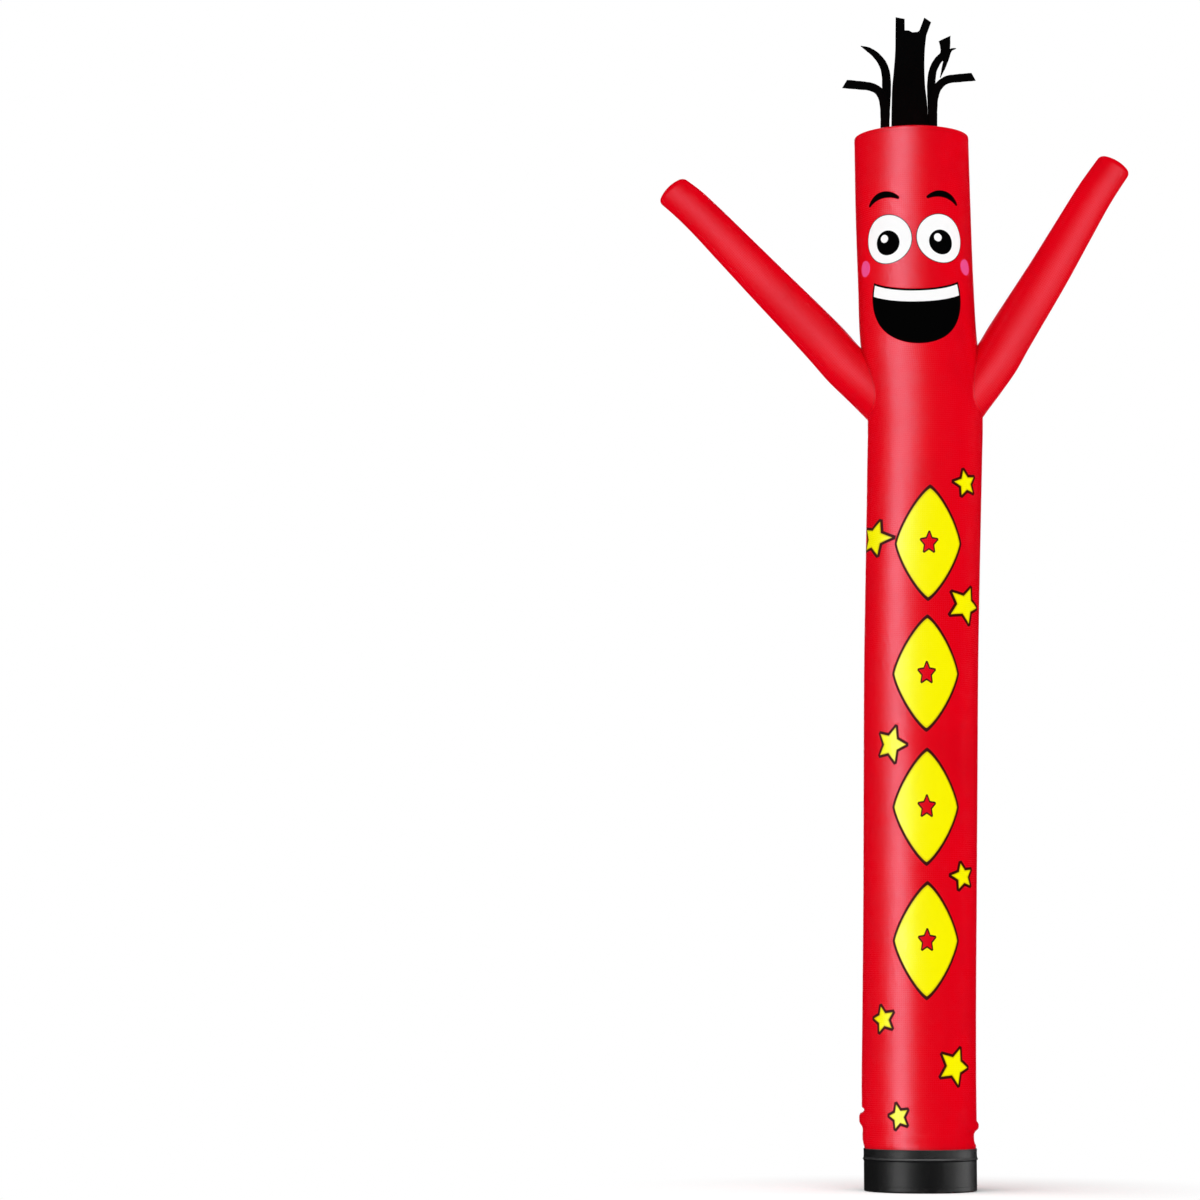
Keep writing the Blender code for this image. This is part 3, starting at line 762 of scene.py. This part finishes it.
crown = {
    "wall": 0.0012, "columns": 144, "cutRadius": 0.156,  # the flat disc's radius within its edge
    "edge": 0.004, "edgeTurn": math.radians(72), "edgeRings": 8,
    "rise": 0.022, "domeRings": 24, "lastRing": 0.02,  # as a share of the dome's radius
    "flat": (0.335, 0.335), "area": 0.0855, "held": "stretched",
}
sleeve = {
    "radius": 0.15, "height": 0.109, "wall": 0.002, "columns": 144, "rows": 24,
    "hem": 0.004, "hemRows": 7,
    "edgeIn": 0.0006, "edgeDown": 0.0008,  # how far the top edge is rounded in and down
    "flat": (0.955, 0.135),
}
band = {
    "inner": 0.1495, "low": 0.0802, "top": 0.1122, "thick": 0.0009, "columns": 160, "rows": 12,
    "edgeIn": 0.0005, "edgeDown": 0.0006,
    "fold": 0.0001,  # slant of the cut edges
    "overRoll": 0.0012,  # from the roll to the first plain row
    # the lower edge's roll: out from the sleeve and up from the band's foot
    "roll": ((0.0003, 0.0), (0.0014, 0.0013), (0.0027, 0.0029), (0.0034, 0.0041), (0.0034, 0.0047),
             (0.0029, 0.0059), (0.0021, 0.0074), (0.0014, 0.0088), (0.0009, 0.01)),
    "flat": (0.965, 0.036),
}
crownX = tubeX(tubeTop)


def ringPiece(name, outerRows, innerRows, columns, centreX, cutRadius, **options):
    # a piece turned from rows of radius and height, starting at the back
    turns = np.linspace(-math.pi, math.pi, columns + 1)

    def revolve(rows):
        radius, height = np.array(rows).T[..., None]
        x, y = radius * np.sin(turns[:-1]), -radius * np.cos(turns[:-1])
        return np.stack([centreX + x, y, height + 0 * x], -1)

    across, along = np.meshgrid(turns * cutRadius, runsAlong(np.array(outerRows)))
    return clothMesh(name, revolve(outerRows), revolve(innerRows), across, along, **options)


def crownRows(inset):
    # a rounded edge, then the dome
    middle, base = smoothCurve(tube["sections"], tubeTop)[1] - crown["edge"], tubeTop + gap
    corner = crown["edge"] - inset
    rows = [(middle + corner * math.cos(t), base + corner * math.sin(t))
            for t in np.linspace(0, crown["edgeTurn"], crown["edgeRings"])]
    radius, height = rows[-1]
    top = base + crown["edge"] + crown["rise"] - inset
    for share in np.linspace(1, crown["lastRing"], crown["domeRings"])[1:]:
        rows.append((radius * share, top - (top - height) * share**2))
    return rows


def crownHeight(x, y):
    radius, height = np.array(crownRows(0.0)[::-1]).T
    return np.interp(np.hypot(x - crownX, y), radius, height)


def sleeveRows():
    # the foot's hem turns in, and the top edge is rounded over
    r, top, wall, hem = sleeve["radius"], sleeve["height"], sleeve["wall"], sleeve["hem"]
    outerRows, innerRows = [], []
    for t in np.linspace(0, math.pi / 2, sleeve["hemRows"]):
        outerRows.append((r - hem + hem * math.sin(t), hem - hem * math.cos(t)))
        innerRows.append((r - hem + (hem - wall) * math.sin(t), hem - (hem - wall) * math.cos(t)))
    for z in np.linspace(hem, top - sleeve["edgeDown"], sleeve["rows"])[1:]:
        outerRows.append((r, z))
        innerRows.append((r - wall, z))
    outerRows.append((r - sleeve["edgeIn"], top))
    innerRows.append((r - wall + sleeve["edgeIn"], top))
    return outerRows, innerRows


def bandRows():
    # a flat band whose lower edge is turned up into a roll
    inner, low, top = band["inner"], band["low"], band["top"]
    outerRows = [(inner + out, low + up) for out, up in band["roll"]]
    innerRows = [(inner, low + band["fold"] + up) for out, up in band["roll"]]
    for z in np.linspace(outerRows[-1][1] + band["overRoll"], top - band["edgeDown"], band["rows"]):
        outerRows.append((inner + band["thick"], z))
        innerRows.append((inner, z))
    outerRows.append((inner + band["thick"] - band["edgeIn"], top))
    innerRows.append((inner, top - band["fold"]))
    return outerRows, innerRows


dress(ringPiece("headCap", crownRows(0.0), crownRows(crown["wall"]), crown["columns"], crownX,
                crown["cutRadius"], capEnd=True), redMaterial, "head_cap")
dress(ringPiece("sleeve", *sleeveRows(), sleeve["columns"], footX, sleeve["radius"], insideShare=0.3),
      sleeveMaterial, "cuff")
dress(ringPiece("sleeveBand", *bandRows(), band["columns"], footX, band["inner"], insideShare=0.3),
      bandMaterial, "cuff_strap")
print("crown, sleeve and band made")

hair = {
    "base": 2.8713,  # the hair's heights count from here
    "thick": 0.0009,
    "seat": 0.0004,  # over the crown
    "settle": 0.03,  # creases and ripples fade in over this length, and the slanting end too
    "columns": 8,
    "rowsPerPoint": 8,
    # depth, radians to a metre, how many times the strip's own seed shifts it
    "ragged": ((0.0004, 210, 1), (0.0003, 470, 2)),
    "crease": (0.0016, 24),
}
# each path: across, up, width, depth, twist in degrees
strips = {
    "hairLeftOuter": {
        "node": "hair_left_outer", "slant": -0.01, "flat": (0.025, 0.225),
        "path": ((-0.072, 0.0, 0.0232, -0.006, 0), (-0.0722, 0.055, 0.0236, -0.0066, 0),
                 (-0.0755, 0.09, 0.024, -0.008, 3), (-0.087, 0.114, 0.0242, -0.011, 6),
                 (-0.109, 0.126, 0.0242, -0.015, 8), (-0.14, 0.1318, 0.0246, -0.012, 5),
                 (-0.1815, 0.1385, 0.025, -0.004, 0)),
    },
    "hairLeftInner": {
        "node": "hair_left_inner", "slant": 0.0, "flat": (0.025, 0.29), "area": 0.0062,
        "path": ((-0.0715, 0.0, 0.0225, 0.006, 0), (-0.069, 0.07, 0.024, 0.0066, 0),
                 (-0.0664, 0.125, 0.0248, 0.0085, -3), (-0.068, 0.168, 0.0238, 0.012, -6),
                 (-0.0768, 0.198, 0.022, 0.015, -9), (-0.0945, 0.222, 0.0184, 0.014, -9),
                 (-0.114, 0.2365, 0.0138, 0.01, -6), (-0.1362, 0.247, 0.0024, 0.006, 0)),
    },
    "hairRightInner": {
        "node": "hair_right_inner", "slant": 0.013, "flat": (0.036, 0.31), "area": 0.008,
        "path": ((0.0585, 0.0, 0.0235, 0.007, 0), (0.0575, 0.07, 0.0235, 0.0074, 0),
                 (0.0562, 0.13, 0.0232, 0.0085, 4), (0.0608, 0.173, 0.0218, 0.011, 8),
                 (0.0745, 0.202, 0.0214, 0.013, 10), (0.0902, 0.218, 0.0214, 0.012, 8),
                 (0.0953, 0.237, 0.0266, 0.009, 4), (0.0941, 0.263, 0.0334, 0.006, 0)),
        "tornSliver": ((0.1255, 0.235, 0.002, 0.0085, 0), (0.111, 0.231, 0.008, 0.0095, 0),
                       (0.1012, 0.217, 0.015, 0.0105, 0), (0.093, 0.19, 0.0118, 0.0115, 0),
                       (0.0812, 0.155, 0.0022, 0.012, 0)),
    },
    "hairRightOuter": {
        "node": "hair_right_outer", "slant": 0.009, "flat": (0.024, 0.235),
        "path": ((0.06, 0.0, 0.023, -0.006, 0), (0.0608, 0.06, 0.023, -0.0066, 0),
                 (0.0645, 0.097, 0.023, -0.008, -3), (0.076, 0.1245, 0.0232, -0.011, -6),
                 (0.0985, 0.1412, 0.0234, -0.014, -8), (0.131, 0.146, 0.0236, -0.012, -5),
                 (0.1722, 0.1505, 0.0234, -0.005, 0)),
    },
}
panel = {
    "node": "hair_centre",
    "footRise": 0.03,
    "columns": 26,
    "tailColumns": (7, 8),  # columns that run on into the left and the right tail
    "rows": 76,
    "tailRows": 20,
    # up, left edge, right edge, from the foot to the shoulders beside the notch
    "edges": ((0.0, -0.0544, 0.0474), (0.085, -0.0526, 0.0442), (0.128, -0.0508, 0.0396),
              (0.17, -0.0464, 0.038), (0.236, -0.0412, 0.0402), (0.268, -0.0407, 0.044)),
    "notch": ((-0.015, 0.284), (-0.0035, 0.283), (0.0055, 0.2775), (0.021, 0.2795), (0.0255, 0.284)),
    "tailEnds": ((-0.0396, 0.3225), (-0.015, 0.318), (0.0388, 0.32), (0.0575, 0.3055)),
    "bendFrom": 0.75,  # share of the rows below the bend to the notch
    # upright ripples, then slanting ones: depth, radians to a metre
    "ripples": ((0.0016, 130, 2.0, 14), (0.001, 42, 60)),
    "bend": ((0.0, 0.0), (0.1, 0.003), (0.2, -0.004), (0.28, -0.01), (0.33, -0.004)),
    "flat": (0.106, 0.325), "area": 0.0272,
}


def seatAt(points):
    return crownHeight(points[..., 0], points[..., 1]) + hair["seat"]


def hairStrip(name, path, slant=0.0, seated=True):
    keyed = [(i, *row) for i, row in enumerate(path)]
    last = len(path) - 1
    at = np.linspace(0, last, last * hair["rowsPerPoint"] + 1)
    acrossX, up, width, depth, twist = smoothCurve(keyed, at)
    spine = np.stack([acrossX, 0 * up, up], 1)
    ahead, runs, turn = unit(np.gradient(spine, axis=0)), runsAlong(spine), np.radians(twist)
    edge = np.stack([ahead[:, 2] * np.cos(turn), np.sin(turn), -ahead[:, 0] * np.cos(turn)], 1)
    face = unit(np.cross(ahead, edge))
    across = np.linspace(-0.5, 0.5, hair["columns"] + 1)
    # edges cut by hand, a soft crease along the strip and a slanting end
    seed = sum(ord(letter) for letter in name)
    ragged = sum(deep * np.sin(runs * waves + shift * seed) for deep, waves, shift in hair["ragged"])
    deep, waves = hair["crease"]
    crease = deep * np.sin(runs * waves + seed) * np.clip(runs / hair["settle"], 0, 1)
    fade = np.clip(1 - (runs[-1] - runs) / hair["settle"], 0, 1) ** 2
    wide = (width + ragged)[:, None] * across
    middle = (
        (np.array([crownX, 0.0, hair["base"]]) + np.stack([acrossX, depth, up], 1))[:, None]
        + edge[:, None] * wide[..., None]
        + face[:, None] * (crease[:, None] * np.cos(math.pi * across))[..., None]
        + ahead[:, None] * (slant * fade[:, None] * across)[..., None])
    sides = [middle + face[:, None] * way * hair["thick"] / 2 for way in (-1, 1)]
    if seated:
        for side in sides:
            side[0, :, 2] = seatAt(side[0])
    return clothMesh(name, *sides, wide, runs[:, None] + 0 * across, wrap=False, insideShare=0.49)


def makePanel():
    # columns of cloth run up from the foot, and slide so that the notch's corners fall on two of them
    count, rows, tailRows = panel["columns"], panel["rows"], panel["tailRows"]
    leftColumns, rightColumns = panel["tailColumns"]
    k = np.arange(count + 1)
    stops = (0, leftColumns, count - rightColumns, count)
    notchX, notchUp = np.array(panel["notch"]).T
    shoulder, leftTop, rightTop = panel["edges"][-1]
    topX = np.interp(k, stops, (leftTop, notchX[0], notchX[-1], rightTop))
    t = np.linspace(0, 1, rows)[:, None]
    left, right = smoothCurve(panel["edges"], shoulder * t)
    shares = k / count * (1 - t) + (topX - leftTop) / (rightTop - leftTop) * t
    x = left + (right - left) * shares
    # the last rows bend up to the notch, and slope to its corners from the outer edges
    slope = (notchUp[0] - shoulder) * np.minimum(k / leftColumns, (count - k) / rightColumns)
    inNotch = (k >= leftColumns) & (k <= count - rightColumns)
    lift = np.clip((t - panel["bendFrom"]) / (1 - panel["bendFrom"]), 0, 1)
    up = shoulder * t + lift * np.where(inNotch, np.interp(x, notchX, notchUp) - shoulder, slope)
    # the tails go on to their cut ends
    s = (np.arange(tailRows) + 1)[:, None] / tailRows
    endX, endUp = [np.interp(k, stops, ends) for ends in np.array(panel["tailEnds"]).T]
    x, up = np.vstack([x, x[-1] + (endX - x[-1]) * s]), np.vstack([up, up[-1] + (endUp - up[-1]) * s])
    keep = np.ones((rows + tailRows - 1, count), bool)
    keep[rows - 1:, leftColumns:count - rightColumns] = False
    (tall, tallWaves, bow, bowWaves), (low, lowWaves, slantWaves) = panel["ripples"]
    ripple = tall * np.sin(x * tallWaves + bow * np.sin(up * bowWaves))
    ripple = ripple + low * np.sin(up * lowWaves + x * slantWaves)
    y = smoothCurve(panel["bend"], up)[0] + ripple * np.clip(up / hair["settle"], 0, 1)
    sides = [np.stack([crownX + x, y + way * hair["thick"] / 2, hair["base"] + up], -1) for way in (-1, 1)]
    # the lowest rows stretch down to the crown
    for side in sides:
        foot = seatAt(side[0])
        stretched = foot + (hair["base"] + panel["footRise"] - foot) * up / panel["footRise"]
        side[..., 2] = np.where(up < panel["footRise"], stretched, side[..., 2])
    return clothMesh("hairCentre", *sides, x, up, wrap=False, keep=keep, insideShare=0.49)


for name, strip in strips.items():
    piece = hairStrip(name, strip["path"], strip["slant"])
    if "tornSliver" in strip:
        sliver = hairStrip("tornSliver", strip["tornSliver"], seated=False)
        bm = bmesh.new()
        bm.from_mesh(piece.data)
        bm.from_mesh(sliver.data)
        bm.to_mesh(piece.data)
        bm.free()
        bpy.data.objects.remove(sliver)
    dress(piece, hairMaterial, strip["node"])
dress(makePanel(), hairMaterial, panel["node"])
print("hair made")

stitch = {"pitch": 0.0052, "length": 0.004, "radius": 0.00042}
coarseStitch = {"pitch": 0.0062, "length": 0.0048, "radius": 0.0005}
# how far each row of stitches lies from an edge
stitchPlaces = {
    "crown": 0.007, "arm": 0.006, "hem": 0.014, "bandTop": 0.004, "bandLow": 0.0115,
    "backSeam": 0.0032, "backFrom": 0.12, "backTo": 0.003,
    "inwards": 0.01,  # how deep in the arm the point lies that its stitches face away from
}


def outwardAt(turns):
    return np.stack([np.sin(turns), -np.cos(turns), 0 * turns], 1)


around = np.linspace(-math.pi, math.pi, 241)[:-1]
stitchRow("crownStitching", tubePoints(around, tubeTop - stitchPlaces["crown"] + 0 * around),
          outwardAt(around), stitch, redThreadMaterial)
seamHeights = np.linspace(stitchPlaces["backFrom"], tubeTop - stitchPlaces["backTo"], 400)
for label, side in (("backSeamLeft", 1), ("backSeamRight", -1)):
    turns = np.full(seamHeights.shape, side * (math.pi - stitchPlaces["backSeam"] / clothPerRadian))
    stitchRow(label, tubePoints(turns, seamHeights), outwardAt(turns), stitch, redThreadMaterial,
              closed=False)
for name, arm in arms.items():
    turns = np.linspace(0, 2 * math.pi, 121)[:-1]
    start = seamDistance(arm, turns) + stitchPlaces["arm"]
    path = armPoints(arm, turns, start)
    outward = path - armPoints(arm, turns, start, stitchPlaces["inwards"])
    stitchRow(name + "Stitching", path, outward, stitch, redThreadMaterial)
bandFace = band["inner"] + band["thick"]
for label, radius, height in (
        ("bandStitchingTop", bandFace, band["top"] - stitchPlaces["bandTop"]),
        ("bandStitchingLow", bandFace, band["low"] + stitchPlaces["bandLow"]),
        ("hemStitching", sleeve["radius"], stitchPlaces["hem"])):
    path = np.array([footX, 0.0, height]) + outwardAt(around) * radius
    stitchRow(label, path, outwardAt(around), coarseStitch, blackThreadMaterial)
print("stitching made")

floor = {"radius": 60.0, "colour": 0.92, "drop": 0.0004, "plainWithin": 0.16, "whiteBeyond": 1.0}


def makeFloor():
    bm = bmesh.new()
    bmesh.ops.create_circle(bm, cap_ends=True, segments=96, radius=floor["radius"])
    mesh = bpy.data.meshes.new("paleFloor")
    bm.to_mesh(mesh)
    bm.free()
    piece = bpy.data.objects.new("paleFloor", mesh)
    piece.location.z = -floor["drop"]
    bpy.context.collection.objects.link(piece)
    material, tree, shader = newMaterial("pale floor")
    setInputs(shader, {
        "Base Color": (floor["colour"],) * 3 + (1.0,), "Roughness": 0.9, "Specular IOR Level": 0.1})
    glow = addNode(tree, "Emission", {"Color": (1, 1, 1, 1), "Strength": 1.0})
    position = addNode(tree, "NewGeometry").outputs["Position"]
    away = vectorMaths("DISTANCE", position, (footX, 0.0, 0.0))
    fade = ramp(away, floor["plainWithin"], floor["whiteBeyond"])
    mixed = nodeAfter("MixShader", {0: fade, 1: shader.outputs[0], 2: glow.outputs[0]}).outputs[0]
    setInputs(tree.nodes["Material Output"], {"Surface": mixed})
    mesh.materials.append(material)
    piece.visible_glossy = piece.visible_diffuse = False
    return piece


floorPiece = makeFloor()
world = bpy.data.worlds.new("studio")
world.use_nodes = True
setInputs(world.node_tree.nodes["Background"], {"Color": (1.0, 1.0, 1.0, 1.0), "Strength": 1.0})
# only a backdrop, because the lamps light the figure
world.cycles_visibility.glossy = world.cycles_visibility.diffuse = False
bpy.context.scene.world = world

camera = {"back": 9.9, "height": 0.5, "lens": 110.0, "sensor": 36.0, "tilt": 6.25, "turn": 4.939}
# turn is degrees to the right of the front, away is metres from the figure, radiance is its brightness
lowLamp = {"away": 3.0, "height": 0.1, "only": ("sleeve", "sleeveBand")}
softLamp = {"away": 4.0, "height": 2.2, "size": (1.2, 3.0), "soft": True}
lamps = {
    "sleeveKey": {**lowLamp, "turn": -42, "size": (1.7, 2.0), "radiance": 2.6},
    "sleeveRim": {**lowLamp, "turn": 100, "size": (1.9, 2.0), "radiance": 1.35},
    "sleeveRimSoft": {**lowLamp, "turn": 84, "size": (4.0, 2.0), "radiance": 0.62},
    "bandTop": {"turn": 0, "away": 0.0, "height": 2.1, "aim": 0.1, "size": (5.0, 5.0), "radiance": 2.3,
                "only": ("sleeveBand",)},
    "backKey": {"turn": 180, "away": 2.2, "height": 1.6, "size": (1.1, 6.0), "radiance": 2.6,
                "colour": (0.42, 0.85, 1.0), "only": ("bodyTube", "headCap")},
    "backSideKey": {"turn": 180, "away": 3.0, "height": 1.6, "size": (1.2, 4.5), "radiance": 1.8,
                    "colour": (0.5, 0.8, 1.0), "only": ("armLeft", "armRight")},
    "backSleeveKey": {**lowLamp, "turn": 180, "size": (1.2, 2.0), "radiance": 2.0},
    "backSoftLeft": {**softLamp, "turn": -160, "radiance": 1.6},
    "backSoftRight": {**softLamp, "turn": 125, "radiance": 0.8},
}
keyStrip = {
    "away": 2.2, "tall": 0.8, "colour": (0.42, 0.8, 1.0),
    # width and radiance of nested panels, so that the strip fades to its sides
    "layers": ((0.62, 4.2), (1.5, 3.7), (2.6, 0.7)),
    # height and turn of each panel: the strip follows the figure's sway
    "panels": ((-1.2, -33), (-0.4, -34), (0.4, -37), (1.2, -45),
               (2.0, -54), (2.8, -33), (3.6, -15), (4.4, -10)),
}
armStrips = {
    "away": 2.2, "colour": (0.5, 0.8, 1.0),
    # share of the arm's length that each strip stands before, and how much it reaches along the arm
    "share": 0.97, "reach": 1.76,
    "layers": ((1.2, 0.66), (3.6, 0.74), (12.0, 0.57)),
    "lean": {"armLeft": 14, "armRight": 38},  # degrees from the front towards the arm's underside
}
softDome = {"count": 42, "brightness": 1.0, "angle": math.radians(9)}
floorLight = {"place": (-0.6, -1.5, 4.2), "size": 5.0, "energy": 350.0}


def gathered(name, members):
    found = bpy.data.collections.new(name)
    for member in members:
        found.objects.link(member)
    return found


figure = gathered("figure", [p for p in bpy.data.objects if p.type == "MESH" and p != floorPiece])
onFloor = gathered("onFloor", [floorPiece])


def facing(direction, place):
    # where a lamp stands to shine against the direction
    stand = Vector(direction).to_track_quat("Z", "Y").to_matrix().to_4x4()
    stand.translation = Vector(place)
    return stand


def armStand(name):
    # before the arm and lying along it, where the camera sees it mirrored in the cloth
    root, length, ahead, under = armLine(arms[name])
    place = root + ahead * length * armStrips["share"]
    sight = unit(place - np.array([footX, -camera["back"], camera["height"]]))
    lean = math.radians(armStrips["lean"][name])
    mirrored = Vector(sight * np.array([1.0, -1.0, 1.0]))
    outward = (mirrored * math.cos(lean) + Vector(under) * math.sin(lean)).normalized()
    across = Vector(ahead).cross(outward).normalized()
    stand = Matrix((across, outward.cross(across), outward)).transposed().to_4x4()
    stand.translation = Vector(place) + outward * armStrips["away"]
    return stand


def addLight(name, kind, stand, receivers, soft, **settings):
    data = bpy.data.lights.new(name, kind)
    for key, value in settings.items():
        setattr(data, key, value)
    light = bpy.data.objects.new(name, data)
    light.matrix_world = stand
    light.visible_camera = False
    light.visible_diffuse = soft  # the pale surroundings give the front its even light
    light.visible_glossy = not soft
    bpy.context.collection.objects.link(light)
    light.light_linking.receiver_collection = receivers
    if receivers != onFloor:  # the floor doesn't shade the figure from below
        light.light_linking.blocker_collection = figure


def addLamp(name, lamp):
    if "stand" in lamp:
        stand = lamp["stand"]
    else:
        turn, away = math.radians(lamp["turn"]), lamp["away"]
        place = Vector((footX + math.sin(turn) * away, -math.cos(turn) * away, lamp["height"]))
        stand = facing(place - Vector((footX, 0.0, lamp.get("aim", lamp["height"]))), place)
    receivers = figure
    if "only" in lamp:
        receivers = gathered(name + "Lights", [pieces[member] for member in lamp["only"]])
    wide, tall = lamp["size"]
    addLight(name, "AREA", stand, receivers, "soft" in lamp, shape="RECTANGLE", size=wide, size_y=tall,
             energy=lamp["radiance"] * math.pi * wide * tall, color=lamp.get("colour", (1.0, 1.0, 1.0)))


def addDome():
    # even pale light from all round, without gloss
    golden, count = math.pi * (3 - math.sqrt(5)), softDome["count"]
    for i in range(count):
        up = 1 - (2 * i + 1) / count
        out = math.sqrt(1 - up * up)
        stand = facing((out * math.cos(golden * i), out * math.sin(golden * i), up), (0.0, 0.0, 0.0))
        addLight("dome%02d" % i, "SUN", stand, figure, True, angle=softDome["angle"],
                 energy=4 * math.pi * softDome["brightness"] / count)


for name, lamp in lamps.items():
    addLamp(name, lamp)
for name in arms:
    for k, (wide, radiance) in enumerate(armStrips["layers"]):
        addLamp("%sStrip%d" % (name, k), {
            "stand": armStand(name), "size": (wide, armStrips["reach"]), "radiance": radiance,
            "colour": armStrips["colour"], "only": (name,)})
for i, (height, turn) in enumerate(keyStrip["panels"]):
    for k, (wide, radiance) in enumerate(keyStrip["layers"]):
        addLamp("keyStrip%d.%d" % (i, k), {
            "turn": turn, "away": keyStrip["away"], "height": height, "size": (wide, keyStrip["tall"]),
            "radiance": radiance, "colour": keyStrip["colour"], "only": ("bodyTube", "headCap")})
addDome()
addLight("floorLamp", "AREA", Matrix.Translation(Vector(floorLight["place"]) + Vector((footX, 0.0, 0.0))),
         onFloor, True, size=floorLight["size"], energy=floorLight["energy"])

lens = bpy.data.cameras.new("camera")
lens.lens, lens.sensor_width, lens.clip_end = camera["lens"], camera["sensor"], 200.0
viewer = bpy.data.objects.new("camera", lens)
viewer.location = (footX, -camera["back"], camera["height"])
viewer.rotation_euler = (math.radians(90 + camera["tilt"]), 0.0, math.radians(camera["turn"]))
bpy.context.collection.objects.link(viewer)
bpy.context.scene.camera = viewer
bpy.context.scene.view_settings.view_transform = "Standard"
print("floor, light and camera set")
